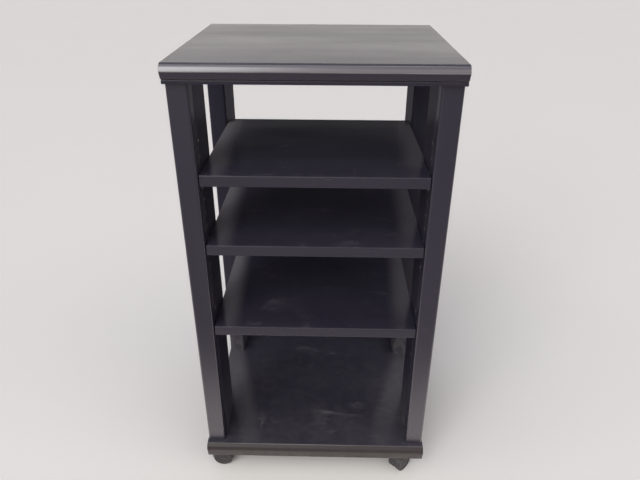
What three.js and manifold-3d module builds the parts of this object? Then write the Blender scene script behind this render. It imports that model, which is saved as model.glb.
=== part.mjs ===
// An open audio equipment rack on casters. Four posts join a base board to a top board,
// and three loose shelves rest on pins between the posts.
// Lengths are in millimetres. +X is the rack's right, +Y its back and +Z up.
// The origin is on the floor, under the middle of the rack's outline.
import * as THREE from 'three';
import { mergeVertices } from 'three/addons/utils/BufferGeometryUtils.js';
import Module from 'manifold-3d';

const wasm = await Module();
wasm.setup();

// Main sizes of the rack. The bay is the clear space between the posts. The base board is flush
// with the top board at the back and reaches a little ahead of it at the front.
const bayWidth = 468;
const carcassHeight = 921;
const topDepth = 500;
const topThickness = 38;
const topSideOverhang = 3.5;
const baseThickness = 40;
const baseSideOverhang = 2.5;
const baseForwardReach = 2.5;

// Fits between pieces, the overrun of every cut and the rounding of plain edges.
const seamGap = 0.2;
const pinClearance = 0.25;
const screwClearance = 0.3;
const runningGap = 0.12;
const overrun = 2;
const edgeRound = 1.2;

// Posts. A front post is a stile with a side board glued behind it.
const postWidth = 42.5;
const postDepth = 130;
const stileDepth = 33;
const frontPostInset = 9;
const rearPostInset = 4;
const arrisRound = 5;
const seamRound = 1.5;

// Mouldings along the front of the top board and of the base board.
const mouldingReach = 9;
const mouldingArrisDrop = 14.5;
const lipHeight = 9.5;
const mouldingFootReach = 2.5;
const quirkDrop = 2;
const quirkRound = 1.2;
const bevelControlShares = [0.83, 0.4];
const baseNoseReach = 8.5;
const baseNoseDrop = 20.5;
const baseNoseFootReach = 3;
const noseControlShares = [1, 0.31];

// Shelves.
const shelfThickness = 25;
const shelfRearOverlap = 24;
const shelfInset = 5;
const shelfEndGap = 1.5;
const shelfArrisRound = 2;

// Shelf pins and the two groups of holes for them, measured up from the base board's top.
const pinPitch = 32;
const lowerHolesStart = 264;
const lowerHolesCount = 5;
const upperHolesStart = 510;
const upperHolesCount = 10;
const bottomShelfHole = 2;
const middleShelfHole = 1;
const topShelfHole = 6;
const holeSeamInset = 7;
const holeRearInset = 19;
const pegRadius = 2.5;
const pegLength = 9;
const pegEndGap = 2;
const pinPlateThickness = 1.2;
const pinPlateWidth = 12;
const pinPlateDrop = 6;
const ledgeRise = 10;
const ledgeReach = 11;
const ledgeThickness = 1.6;

// Screws up through the base board, and the dowels under the top board.
const screwLength = 70;
const screwHeadRadius = 5;
const screwHeadRim = 1;
const screwConeHeight = 3;
const screwShankRadius = 3.5;
const screwSocketRadius = 2;
const screwSocketDepth = 2.5;
const screwTipHeight = 3;
const screwTipShare = 2 / 3;
const screwRecess = 0.5;
const stileScrewShare = 0.5;
const boardScrewShare = 0.6;
const rearScrewShares = [0.2, 0.8];
const dowelRadius = 5;
const dowelCover = 12;
const dowelChamfer = 1;
const dowelSlack = 1;

// Casters.
const casterFrontInset = 37;
const casterRearInset = 52;
const casterSideInset = 44;
const casterTrail = 12;
const wheelRadius = 25;
const wheelWidth = 14;
const wheelShoulder = 2;
const wheelRimWidth = 2.5;
const wheelDishDepth = 1.2;
const wheelFaceWall = 3.3;
const hubCapRadius = 7;
const hubCapRise = 0.8;
const webThickness = 6;
const webHubRadius = 10;
const wheelSideGap = 0.5;
const axleRadius = 3;
const axleEndGap = 0.5;
const guardGap = 1.3;
const guardThickness = 2;
const guardSetback = 2;
const bossRadius = 11;
const bossRise = 6.9;
const bossDrop = 21;
const stemRadius = 4;
const stemRoot = 8;
const stemEndGap = 1;
const socketFlangeRadius = 14;
const socketFlangeThickness = 2.5;
const socketSleeveRadius = 6;
const socketCover = 6;
const socketEndWall = 1.5;
const swivelGap = 0.3;

// Counts.
const roundSteps = 3;
const bevelSteps = 6;
const noseSteps = 12;
const holeSides = 10;
const screwSides = 10;
const stemSides = 18;
const axleSides = 14;
const wheelSides = 30;

// How far round each caster stands from trailing towards the rack's right.
const casterTurns = {
  front_left: 0.99 * Math.PI,
  front_right: 1.255 * Math.PI,
  rear_left: 0.62 * Math.PI,
  rear_right: 0.45 * Math.PI,
};

// Widths, planes and levels that the pieces share.
const topWidth = bayWidth + 2 * (postWidth + topSideOverhang);
const baseWidth = bayWidth + 2 * (postWidth + baseSideOverhang);
const baseDepth = topDepth + baseForwardReach;
const backPlane = (baseDepth + baseNoseReach) / 2;
const topFrontPlane = backPlane - topDepth;
const baseFrontPlane = backPlane - baseDepth;
const mouldingHeight = topThickness - lipHeight;
const guardRadius = wheelRadius + guardGap + guardThickness;
const bossTop = wheelRadius + guardRadius + bossRise;
const casterHeight = bossTop + swivelGap + socketFlangeThickness;
const baseTopLevel = casterHeight + baseThickness;
const topUnderLevel = baseTopLevel + carcassHeight;
const topLevel = topUnderLevel + topThickness;
const postHeight = carcassHeight - 2 * seamGap;
const frontPostPlane = topFrontPlane + frontPostInset;
const rearPostPlane = backPlane - rearPostInset - postDepth;
const sideBoardPlane = frontPostPlane + stileDepth;
const sideBoardDepth = postDepth - stileDepth;
const postCentre = (bayWidth + postWidth) / 2;
const frontHolePlane = sideBoardPlane + holeSeamInset;
const rearHolePlane = rearPostPlane + holeRearInset;
const shelfFrontPlane = frontPostPlane + shelfInset;
const shelfDepth = rearHolePlane + shelfRearOverlap - shelfFrontPlane;
const holeDepth = pegLength + pegEndGap;
const dowelHalf = topThickness - dowelCover;
const sleeveTop = socketFlangeThickness + baseThickness - socketCover;
const stemLength = sleeveTop - socketEndWall - stemEndGap + swivelGap;
const wheelBoreDepth = wheelWidth - wheelDishDepth - wheelFaceWall;

// Heights above the base board's top of every pin hole, and of the hole that each shelf's pins use.
const pinHoleHeights = [
  ...holeHeights(lowerHolesStart, lowerHolesCount),
  ...holeHeights(upperHolesStart, upperHolesCount),
];
const shelfHoles = {
  shelf_top: upperHolesStart + topShelfHole * pinPitch,
  shelf_middle: upperHolesStart + middleShelfHole * pinPitch,
  shelf_bottom: lowerHolesStart + bottomShelfHole * pinPitch,
};

function holeHeights(start, count) {
  return Array.from({ length: count }, (unused, i) => start + i * pinPitch);
}

// Materials.
function finish(color, roughness, metalness) {
  return new THREE.MeshStandardMaterial({ color, roughness, metalness });
}
const topFoil = finish(0x4b4648, 0.35, 0);
const mouldingFoil = finish(0x3f3a3b, 0.3, 0);
const carcassFoil = finish(0x322e30, 0.45, 0);
const innerFoil = finish(0x242226, 0.55, 0);
const shelfFoil = finish(0x29282c, 0.4, 0);
const zincSteel = finish(0x9a9a98, 0.35, 1);
const beech = finish(0xb99a6b, 0.7, 0);
const casterPlastic = finish(0x1d1c1f, 0.45, 0);
const wheelPlastic = finish(0x2a292c, 0.5, 0);

// Solids from geometries, and back.
function toSolid(geometry) {
  const bare = geometry.clone();
  bare.deleteAttribute('normal');
  bare.deleteAttribute('uv');
  const welded = mergeVertices(bare);
  const vertProperties = new Float32Array(welded.getAttribute('position').array);
  const triVerts = new Uint32Array(welded.getIndex().array);
  return new wasm.Manifold(new wasm.Mesh({ numProp: 3, vertProperties, triVerts }));
}

function toGeometry(solid) {
  const { vertProperties, triVerts } = solid.getMesh();
  const geometry = new THREE.BufferGeometry();
  geometry.setAttribute('position', new THREE.BufferAttribute(vertProperties, 3));
  geometry.setIndex(new THREE.BufferAttribute(triVerts, 1));
  geometry.computeVertexNormals();
  return geometry;
}

function cut(geometry, cutters) {
  const solid = cutters.reduce((rest, cutter) => rest.subtract(toSolid(cutter)), toSolid(geometry));
  return toGeometry(solid);
}

function join(geometries) {
  const [first, ...others] = geometries.map(toSolid);
  return toGeometry(others.reduce((whole, other) => whole.add(other), first));
}

// Shapes that several pieces are made from.
function roundedBox(left, low, right, high, radii) {
  const quarter = Math.PI / 2;
  const corners = [[left, low, 1, 1], [right, low, -1, 1], [right, high, -1, -1], [left, high, 1, -1]];
  const outline = new THREE.Shape();
  corners.forEach(([x, y, inX, inY], i) => {
    const radius = radii[i];
    const start = Math.PI + i * quarter;
    outline.absarc(x + inX * radius, y + inY * radius, radius, start, start + quarter, false);
  });
  return outline;
}

function drawOut(outline, length, steps) {
  return new THREE.ExtrudeGeometry(outline, { depth: length, bevelEnabled: false, curveSegments: steps });
}

// An outline in depth and height, drawn out across the rack and centred on it.
function alongX(outline, length, steps) {
  const geometry = drawOut(outline, length, steps);
  const right = new THREE.Vector3(1, 0, 0);
  const back = new THREE.Vector3(0, 1, 0);
  const up = new THREE.Vector3(0, 0, 1);
  geometry.applyMatrix4(new THREE.Matrix4().makeBasis(back, up, right));
  geometry.translate(-length / 2, 0, 0);
  return geometry;
}

// An outline in width and height, drawn out from front to back and centred on it.
function alongY(outline, length) {
  const geometry = drawOut(outline, length, roundSteps);
  geometry.rotateX(Math.PI / 2);
  geometry.translate(0, length / 2, 0);
  return geometry;
}

function rod(radius, from, to, sides, axis) {
  const geometry = new THREE.CylinderGeometry(radius, radius, to - from, sides);
  geometry.translate(0, (from + to) / 2, 0);
  if (axis === 'x') {
    geometry.rotateZ(-Math.PI / 2);
  }
  if (axis === 'z') {
    geometry.rotateX(Math.PI / 2);
  }
  return geometry;
}

// A profile of radius and height, listed from low to high, turned about the upright axis.
function turned(profile, sides) {
  const points = profile.map(([radius, height]) => new THREE.Vector2(radius, height));
  const geometry = new THREE.LatheGeometry(points, sides);
  geometry.rotateX(Math.PI / 2);
  return geometry;
}

function piece(name, geometry, material, x, y, z) {
  const mesh = new THREE.Mesh(geometry, material);
  mesh.name = name;
  mesh.position.set(x, y, z);
  return mesh;
}

// Where the screws and dowels stand, as [name, side, y].
function screwPlaces() {
  const places = [];
  for (const [sideName, side] of [['left', -1], ['right', 1]]) {
    places.push([`${sideName}_stile`, side, frontPostPlane + stileScrewShare * stileDepth]);
    places.push([`${sideName}_side_board`, side, sideBoardPlane + boardScrewShare * sideBoardDepth]);
    rearScrewShares.forEach((share, i) => {
      places.push([`${sideName}_rear_post_${i + 1}`, side, rearPostPlane + share * postDepth]);
    });
  }
  return places;
}

function dowelPlaces() {
  const places = [];
  for (const [sideName, side] of [['left', -1], ['right', 1]]) {
    places.push([`${sideName}_front`, side, sideBoardPlane + sideBoardDepth / 2]);
    places.push([`${sideName}_rear`, side, rearPostPlane + postDepth / 2]);
  }
  return places;
}

function casterPlaces() {
  const x = baseWidth / 2 - casterSideInset;
  const front = baseFrontPlane + casterFrontInset;
  const rear = backPlane - casterRearInset;
  return [
    ['front_left', -x, front],
    ['front_right', x, front],
    ['rear_left', -x, rear],
    ['rear_right', x, rear],
  ];
}

// Boards and mouldings.
function topBoard() {
  const rounds = [edgeRound, edgeRound, edgeRound, quirkRound];
  const board = alongX(roundedBox(0, -topThickness, topDepth, 0, rounds), topWidth, roundSteps);
  const bores = dowelPlaces().map(([name, side, y]) => {
    const bore = rod(dowelRadius + pinClearance, -overrun, dowelHalf + dowelSlack, holeSides, 'z');
    return bore.translate(side * postCentre, y - topFrontPlane, -topThickness);
  });
  return piece('top_board', cut(board, bores), topFoil, 0, topFrontPlane, topLevel);
}

function topMoulding() {
  const [controlReach, controlDrop] = bevelControlShares;
  const outline = new THREE.Shape();
  outline.moveTo(-seamGap, -mouldingHeight);
  outline.lineTo(-seamGap, -quirkDrop - quirkRound);
  outline.lineTo(-seamGap - quirkRound, -quirkDrop);
  outline.quadraticCurveTo(
    -controlReach * mouldingReach, -controlDrop * mouldingArrisDrop, -mouldingReach, -mouldingArrisDrop);
  outline.lineTo(-mouldingFootReach, -mouldingHeight);
  outline.closePath();
  const strip = alongX(outline, topWidth, bevelSteps);
  return piece('top_front_moulding', strip, mouldingFoil, 0, topFrontPlane, topLevel);
}

function baseBoard() {
  const rounds = [0, edgeRound, edgeRound, 0];
  const board = alongX(roundedBox(0, 0, baseDepth, baseThickness, rounds), baseWidth, roundSteps);
  const screwHoles = screwPlaces().map(([name, side, y]) => {
    return screwHole().translate(side * postCentre, y - baseFrontPlane, 0);
  });
  const socketHoles = casterPlaces().map(([name, x, y]) => {
    const bore = rod(socketSleeveRadius + seamGap, -overrun, sleeveTop, stemSides, 'z');
    return bore.translate(x, y - baseFrontPlane, 0);
  });
  const drilled = cut(board, [...screwHoles, ...socketHoles]);
  return piece('base_board', drilled, carcassFoil, 0, baseFrontPlane, casterHeight);
}

function baseMoulding() {
  const [controlReach, controlDrop] = noseControlShares;
  const outline = new THREE.Shape();
  outline.moveTo(-seamGap, -baseThickness);
  outline.lineTo(-seamGap, 0);
  outline.quadraticCurveTo(
    -controlReach * baseNoseReach, -controlDrop * baseNoseDrop, -baseNoseReach, -baseNoseDrop);
  outline.lineTo(-baseNoseFootReach, -baseThickness);
  outline.closePath();
  const strip = alongX(outline, baseWidth, noseSteps);
  return piece('base_front_moulding', strip, mouldingFoil, 0, baseFrontPlane, baseTopLevel);
}

function shelf(name, holeHeight) {
  const rounds = [shelfArrisRound, edgeRound, edgeRound, shelfArrisRound];
  const outline = roundedBox(0, 0, shelfDepth, shelfThickness, rounds);
  const board = alongX(outline, bayWidth - 2 * shelfEndGap, roundSteps);
  const level = baseTopLevel + holeHeight + ledgeRise + seamGap;
  return piece(name, board, shelfFoil, 0, shelfFrontPlane, level);
}

// Posts. Corner roundings are listed as inner front, outer front, outer back and inner back.
function postBlock(side, depth, [innerFront, outerFront, outerBack, innerBack]) {
  const half = postWidth / 2;
  const radii = side > 0
    ? [innerFront, outerFront, outerBack, innerBack]
    : [outerFront, innerFront, innerBack, outerBack];
  return drawOut(roundedBox(-half, 0, half, depth, radii), postHeight, roundSteps);
}

function pinHoles(side, y) {
  const innerFace = -side * postWidth / 2;
  return pinHoleHeights.map((height) => {
    const bore = rod(pegRadius + pinClearance, -overrun, holeDepth, holeSides, 'x');
    bore.rotateZ(side > 0 ? 0 : Math.PI);
    return bore.translate(innerFace, y, height - seamGap);
  });
}

function pilotHole(y) {
  const depth = screwRecess + screwLength - baseThickness + screwClearance;
  return rod(screwShankRadius + screwClearance, -overrun, depth, screwSides, 'z').translate(0, y, 0);
}

function dowelHole(y) {
  const foot = postHeight - dowelHalf - dowelSlack;
  return rod(dowelRadius + pinClearance, foot, postHeight + overrun, holeSides, 'z').translate(0, y, 0);
}

function stile(sideName, side) {
  const block = postBlock(side, stileDepth - seamGap, [arrisRound, arrisRound, edgeRound, seamRound]);
  const drilled = cut(block, [pilotHole(stileScrewShare * stileDepth)]);
  const level = baseTopLevel + seamGap;
  return piece(`${sideName}_front_stile`, drilled, carcassFoil, side * postCentre, frontPostPlane, level);
}

function sideBoard(sideName, side) {
  const block = postBlock(side, sideBoardDepth, [edgeRound, edgeRound, edgeRound, edgeRound]);
  const pilot = pilotHole(boardScrewShare * sideBoardDepth);
  const holes = [...pinHoles(side, holeSeamInset), pilot, dowelHole(sideBoardDepth / 2)];
  const level = baseTopLevel + seamGap;
  const name = `${sideName}_side_board`;
  return piece(name, cut(block, holes), innerFoil, side * postCentre, sideBoardPlane, level);
}

function rearPost(sideName, side) {
  const block = postBlock(side, postDepth, [arrisRound, arrisRound, edgeRound, edgeRound]);
  const pilots = rearScrewShares.map((share) => pilotHole(share * postDepth));
  const drilled = cut(block, [...pinHoles(side, holeRearInset), ...pilots, dowelHole(postDepth / 2)]);
  const level = baseTopLevel + seamGap;
  return piece(`${sideName}_rear_post`, drilled, innerFoil, side * postCentre, rearPostPlane, level);
}

// A shelf pin points into the left posts. Its plate stands against the post and its ledge carries a shelf.
function shelfPinShape() {
  const plate = new THREE.Shape();
  const faceX = seamGap + pinPlateThickness;
  plate.moveTo(seamGap, -pinPlateDrop);
  plate.lineTo(faceX, -pinPlateDrop);
  plate.lineTo(faceX, ledgeRise - ledgeThickness);
  plate.lineTo(ledgeReach, ledgeRise - ledgeThickness);
  plate.lineTo(ledgeReach, ledgeRise);
  plate.lineTo(seamGap, ledgeRise);
  plate.closePath();
  const peg = rod(pegRadius, -pegLength, faceX - pinPlateThickness / 2, holeSides, 'x');
  return join([alongY(plate, pinPlateWidth), peg]);
}

function shelfPins(shelfName, holeHeight) {
  const pins = [];
  for (const [sideName, side] of [['left', -1], ['right', 1]]) {
    for (const [endName, y] of [['front', frontHolePlane], ['rear', rearHolePlane]]) {
      const name = `${shelfName}_pin_${sideName}_${endName}`;
      const pin = piece(name, shelfPinShape(), zincSteel, side * bayWidth / 2, y, baseTopLevel + holeHeight);
      pin.rotation.z = side > 0 ? Math.PI : 0;
      pins.push(pin);
    }
  }
  return pins;
}

// Fasteners. A screw stands head down, flush with the base board's underside.
function screw(name, side, y) {
  const coneTop = screwHeadRim + screwConeHeight;
  const profile = [
    [0, screwSocketDepth],
    [screwSocketRadius, screwSocketDepth],
    [screwSocketRadius, 0],
    [screwHeadRadius, 0],
    [screwHeadRadius, screwHeadRim],
    [screwShankRadius, coneTop],
    [screwShankRadius, screwLength - screwTipHeight],
    [screwShankRadius * screwTipShare, screwLength],
    [0, screwLength],
  ];
  const level = casterHeight + screwRecess;
  return piece(`screw_${name}`, turned(profile, screwSides), zincSteel, side * postCentre, y, level);
}

function screwHole() {
  const headHole = screwHeadRadius + screwClearance;
  const shankHole = screwShankRadius + screwClearance;
  const rimTop = screwRecess + screwHeadRim + screwClearance;
  const profile = [
    [0, -overrun],
    [headHole, -overrun],
    [headHole, rimTop],
    [shankHole, rimTop + screwConeHeight],
    [shankHole, baseThickness + overrun],
    [0, baseThickness + overrun],
  ];
  return turned(profile, screwSides);
}

function dowel(name, side, y) {
  const profile = [
    [0, -dowelHalf],
    [dowelRadius - dowelChamfer, -dowelHalf],
    [dowelRadius, dowelChamfer - dowelHalf],
    [dowelRadius, dowelHalf - dowelChamfer],
    [dowelRadius - dowelChamfer, dowelHalf],
    [0, dowelHalf],
  ];
  return piece(`dowel_${name}`, turned(profile, holeSides), beech, side * postCentre, y, topUnderLevel);
}

// Casters. Within a caster +X is the way it trails, and its swivel axis stands at the origin.
function casterSocket() {
  const bore = stemRadius + runningGap;
  const profile = [
    [0, sleeveTop - socketEndWall],
    [bore, sleeveTop - socketEndWall],
    [bore, 0],
    [socketFlangeRadius, 0],
    [socketFlangeRadius, socketFlangeThickness - seamGap],
    [socketSleeveRadius, socketFlangeThickness - seamGap],
    [socketSleeveRadius, sleeveTop],
    [0, sleeveTop],
  ];
  return turned(profile, stemSides);
}

function casterBody() {
  const halfWeb = webThickness / 2;
  const halfGuard = halfWeb + wheelSideGap + wheelWidth - guardSetback;
  const atAxle = (geometry) => geometry.translate(casterTrail, 0, wheelRadius);
  const guard = rod(guardRadius, -halfGuard, halfGuard, wheelSides, 'y');
  const lowerDepth = guardRadius + overrun;
  const lowerHalf = new THREE.BoxGeometry(2 * lowerDepth, 2 * halfGuard + overrun, lowerDepth);
  lowerHalf.translate(0, 0, -lowerDepth / 2);
  const shell = atAxle(cut(guard, [lowerHalf]));
  const boss = rod(bossRadius, bossTop - bossDrop, bossTop, stemSides, 'z');
  const wheelSpaces = [-1, 1].map((side) => {
    const inner = side * halfWeb;
    const outer = side * (halfGuard + bossRadius);
    const space = rod(wheelRadius + guardGap, Math.min(inner, outer), Math.max(inner, outer), wheelSides, 'y');
    return atAxle(space);
  });
  const hollowed = cut(join([shell, boss]), wheelSpaces);
  const hub = atAxle(rod(webHubRadius, -halfWeb, halfWeb, axleSides, 'y'));
  const stem = rod(stemRadius, bossTop - stemRoot, bossTop + stemLength, stemSides, 'z');
  const axleBore = atAxle(rod(axleRadius + runningGap, -webThickness, webThickness, axleSides, 'y'));
  return cut(join([hollowed, hub, stem]), [axleBore]);
}

function casterAxle() {
  const half = webThickness / 2 + wheelSideGap + wheelBoreDepth - axleEndGap;
  return rod(axleRadius, -half, half, axleSides, 'y');
}

// A wheel stands on its inner face, with its blind bore open at that face and a dished outer face.
// Its tread has flat facets, and one of them lies on the floor.
function casterWheel() {
  const halfFacet = Math.PI / wheelSides;
  const treadRadius = wheelRadius / Math.cos(halfFacet);
  const boreRadius = axleRadius + runningGap;
  const dish = wheelWidth - wheelDishDepth;
  const profile = [
    [0, wheelBoreDepth],
    [boreRadius, wheelBoreDepth],
    [boreRadius, 0],
    [wheelRadius - wheelShoulder, 0],
    [treadRadius, wheelShoulder],
    [treadRadius, wheelWidth - wheelShoulder],
    [wheelRadius - wheelShoulder, wheelWidth],
    [wheelRadius - wheelShoulder - wheelRimWidth, wheelWidth],
    [wheelRadius - wheelShoulder - wheelRimWidth - wheelDishDepth, dish],
    [hubCapRadius + hubCapRise, dish],
    [hubCapRadius, dish + hubCapRise],
    [0, dish + hubCapRise],
  ];
  return turned(profile, wheelSides).rotateZ(halfFacet);
}

function caster(name, x, y) {
  const group = new THREE.Group();
  group.position.set(x, y, 0);
  group.rotation.z = casterTurns[name];
  const socketLevel = casterHeight - socketFlangeThickness;
  group.add(piece(`${name}_caster_socket`, casterSocket(), zincSteel, 0, 0, socketLevel));
  group.add(piece(`${name}_caster_body`, casterBody(), casterPlastic, 0, 0, 0));
  group.add(piece(`${name}_caster_axle`, casterAxle(), zincSteel, casterTrail, 0, wheelRadius));
  for (const [wheelName, side] of [['wheel_1', 1], ['wheel_2', -1]]) {
    const inner = side * (webThickness / 2 + wheelSideGap);
    const wheelPiece = `${name}_caster_${wheelName}`;
    const wheel = piece(wheelPiece, casterWheel(), wheelPlastic, casterTrail, inner, wheelRadius);
    wheel.rotation.x = -side * Math.PI / 2;
    group.add(wheel);
  }
  return group;
}

function buildRack() {
  const rack = new THREE.Group();
  rack.add(topBoard(), topMoulding(), baseBoard(), baseMoulding());
  for (const [sideName, side] of [['left', -1], ['right', 1]]) {
    rack.add(stile(sideName, side), sideBoard(sideName, side), rearPost(sideName, side));
  }
  for (const [shelfName, holeHeight] of Object.entries(shelfHoles)) {
    rack.add(shelf(shelfName, holeHeight), ...shelfPins(shelfName, holeHeight));
  }
  for (const [name, side, y] of screwPlaces()) {
    rack.add(screw(name, side, y));
  }
  for (const [name, side, y] of dowelPlaces()) {
    rack.add(dowel(name, side, y));
  }
  for (const [name, x, y] of casterPlaces()) {
    rack.add(caster(name, x, y));
  }
  return rack;
}

export default buildRack();
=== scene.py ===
import math

import bmesh
import bpy
from mathutils import Matrix, Vector


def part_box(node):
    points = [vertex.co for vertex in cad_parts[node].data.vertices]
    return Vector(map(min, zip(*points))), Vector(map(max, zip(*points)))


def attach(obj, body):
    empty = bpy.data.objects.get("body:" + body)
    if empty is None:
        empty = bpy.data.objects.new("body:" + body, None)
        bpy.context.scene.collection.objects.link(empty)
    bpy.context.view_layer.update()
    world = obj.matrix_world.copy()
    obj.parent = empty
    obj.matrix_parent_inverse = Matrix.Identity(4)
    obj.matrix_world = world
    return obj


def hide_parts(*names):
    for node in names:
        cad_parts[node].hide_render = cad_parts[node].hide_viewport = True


# An open audio rack in black foil: moulded boards, posts, shelves on pins and twin-wheel casters.
# Lengths are in metres. +X is the rack's right, +Y its back and +Z up, with the floor at zero.

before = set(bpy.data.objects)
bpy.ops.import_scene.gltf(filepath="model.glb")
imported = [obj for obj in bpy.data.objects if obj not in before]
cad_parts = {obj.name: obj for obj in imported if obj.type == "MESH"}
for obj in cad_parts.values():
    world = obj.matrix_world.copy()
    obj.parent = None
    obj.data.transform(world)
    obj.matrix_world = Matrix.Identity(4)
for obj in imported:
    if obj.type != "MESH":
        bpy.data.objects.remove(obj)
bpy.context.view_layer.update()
bpy.ops.object.select_all(action="DESELECT")
mm = 0.001
merged = 0.002 * mm  # points nearer than this become one
within = 0.1 * mm  # an edge this near to a place is the one meant
straight = 0.999  # and this much of its direction lies along its axis


# Small helpers for working on one piece at a time

def workOn(piece):
    bpy.ops.object.select_all(action="DESELECT")
    piece.select_set(True)
    bpy.context.view_layer.objects.active = piece


def turnMode(mode):
    bpy.ops.object.mode_set(mode=mode)


def selectAll(action="SELECT"):
    bpy.ops.mesh.select_all(action=action)


def settle(piece):
    # the place goes into the mesh, and the object back to the rack's origin
    workOn(piece)
    bpy.ops.object.transform_apply(location=True, rotation=True, scale=True)


def addBlock(name, low, high):
    low, high = Vector(low), Vector(high)
    bpy.ops.mesh.primitive_cube_add(size=1, location=(low + high) / 2, scale=high - low)
    piece = bpy.context.object
    piece.name = piece.data.name = name
    settle(piece)
    return piece


def startPoint(name, spot):
    # a plane pulled together to one point, ready to be extruded
    bpy.ops.mesh.primitive_plane_add(size=1)
    piece = bpy.context.object
    piece.name = piece.data.name = name
    turnMode("EDIT")
    bpy.ops.mesh.select_mode(type="VERT")
    selectAll()
    bpy.ops.mesh.merge(type="CENTER")
    bpy.ops.transform.translate(value=spot)
    return piece


def pull(step):
    bpy.ops.mesh.extrude_region_move(TRANSFORM_OT_translate={"value": step})


def closeUp():
    selectAll()
    bpy.ops.mesh.remove_doubles(threshold=merged)
    selectAll()
    bpy.ops.mesh.normals_make_consistent(inside=False)
    turnMode("OBJECT")


def drawAlongX(name, outline, left, right):
    # an edge as long as the strip is pulled round the outline, given as (y, z) points in order
    (startY, startZ), *others = outline
    piece = startPoint(name, (left, startY, startZ))
    pull((right - left, 0, 0))
    selectAll()
    y, z = startY, startZ
    for nextY, nextZ in [*others, outline[0]]:
        pull((0, nextY - y, nextZ - z))
        y, z = nextY, nextZ
    selectAll()
    bpy.ops.mesh.remove_doubles(threshold=merged)
    selectAll()
    bpy.ops.mesh.fill_holes(sides=0)
    closeUp()
    return piece


def turnProfile(name, profile, steps):
    # (radius, height) points are pulled out one by one and spun about the upright axis
    (startR, startH), *others = profile
    piece = startPoint(name, (startR, 0, startH))
    r, h = startR, startH
    for nextR, nextH in others:
        pull((nextR - r, 0, nextH - h))
        r, h = nextR, nextH
    selectAll()
    bpy.ops.mesh.spin(steps=steps, angle=math.tau, center=(0, 0, 0), axis=(0, 0, 1))
    closeUp()
    return piece


def turnRod(name, radius, foot, top, steps, matrix=Matrix()):
    rod = turnProfile(name, [(0, foot), (radius, foot), (radius, top), (0, top)], steps)
    place(rod, matrix)
    return rod


def quarter(center, radius, start, steps=4):
    # profile points round a quarter turn, from start in degrees
    across, up = center
    angles = [math.radians(start + 90 * step / steps) for step in range(steps + 1)]
    return [(across + radius * math.cos(angle), up + radius * math.sin(angle)) for angle in angles]


def shifted(across, up, offsets):
    # profile points given in millimetres from one place
    return [(across + x * mm, up + y * mm) for x, y in offsets]


def bevelEdges(piece, lines, width, segments):
    # lines are the axis that an edge runs along, and its place on the other axes, in the rack's frame
    def isChosen(middle, direction):
        for axis, places in lines:
            near = all(abs(middle[other] - spot) < within for other, spot in places.items())
            if near and abs(direction[axis]) > straight:
                return True
        return False

    workOn(piece)
    turnMode("EDIT")
    bpy.ops.mesh.select_mode(type="EDGE")
    selectAll("DESELECT")
    mesh = bmesh.from_edit_mesh(piece.data)
    for edge in mesh.edges:
        start, end = (vert.co for vert in edge.verts)
        if isChosen((start + end) / 2, (end - start).normalized()):
            edge.select_set(True)
    bmesh.update_edit_mesh(piece.data)
    bpy.ops.mesh.bevel(offset=width, segments=segments, affect="EDGES")
    turnMode("OBJECT")


def softenArrises(piece, width, segments=2, limit=60):
    workOn(piece)
    bevel = piece.modifiers.new("arrises", "BEVEL")
    bevel.width = width
    bevel.segments = segments
    bevel.limit_method = "ANGLE"
    bevel.angle_limit = math.radians(limit)
    bpy.ops.object.modifier_apply(modifier="arrises")


def cutWith(piece, cutter, operation="DIFFERENCE"):
    # the cutter's own material stays on the faces that it leaves
    workOn(piece)
    cut = piece.modifiers.new("cut", "BOOLEAN")
    cut.operation = operation
    cut.solver = "EXACT"
    cut.material_mode = "TRANSFER"
    cut.object = cutter
    bpy.ops.object.modifier_apply(modifier="cut")
    bpy.data.objects.remove(cutter)


def joinPieces(name, pieces):
    workOn(pieces[0])
    for piece in pieces[1:]:
        piece.select_set(True)
    bpy.ops.object.join()
    piece = bpy.context.object
    piece.name = piece.data.name = name
    return piece


def copyPiece(piece, name):
    twin = piece.copy()
    twin.data = piece.data.copy()
    twin.name = twin.data.name = name
    bpy.context.scene.collection.objects.link(twin)
    return twin


def place(piece, matrix):
    piece.matrix_world = matrix
    bpy.context.view_layer.update()
    settle(piece)


def markArrises(piece, widest=0.7 * mm):
    # narrow faces that turn between the flat ones get 1, so that the foil is painted lighter there, as
    # rubbed wear and as a painted highlight on the arris;
    # the ones underneath stay as new
    flatFrom, underneath = 0.9999, -0.35
    rub = piece.data.attributes.new("rub", "FLOAT", "FACE")
    points = piece.data.vertices
    for face in piece.data.polygons:
        corners = [points[index].co for index in face.vertices]
        longest = max((a - b).length for a, b in zip(corners, corners[1:] + corners[:1]))
        flat = max(abs(part) for part in face.normal) > flatFrom
        narrow = face.area / longest < widest
        reached = face.normal.z > underneath
        rub.data[face.index].value = 1 if narrow and reached and not flat else 0


def dress(piece, material, node, body, slotName, smoothAngle=35):
    # the finished piece stands for its CAD node, rides on its body and takes its finish
    if not any(piece.data.materials):
        piece.data.materials.clear()
        piece.data.materials.append(material)
    workOn(piece)
    bpy.ops.object.shade_smooth_by_angle(angle=math.radians(smoothAngle))
    # the wide faces keep their own normals, so that they mirror as flat
    weigh = piece.modifiers.new("flatFaces", "WEIGHTED_NORMAL")
    weigh.weight = 100
    weigh.keep_sharp = True
    bpy.ops.object.modifier_apply(modifier="flatFaces")
    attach(piece, body)
    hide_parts(node)
    piece.select_set(False)


def standTwin(pattern, name, matrix, *dressing):
    # a copy of a piece that is made once and used several times
    twin = copyPiece(pattern, name)
    place(twin, matrix)
    dress(twin, *dressing)


def middleOf(node):
    low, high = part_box(node)
    return (low + high) / 2


# Shader groups, each made once and used by several finishes

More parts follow.
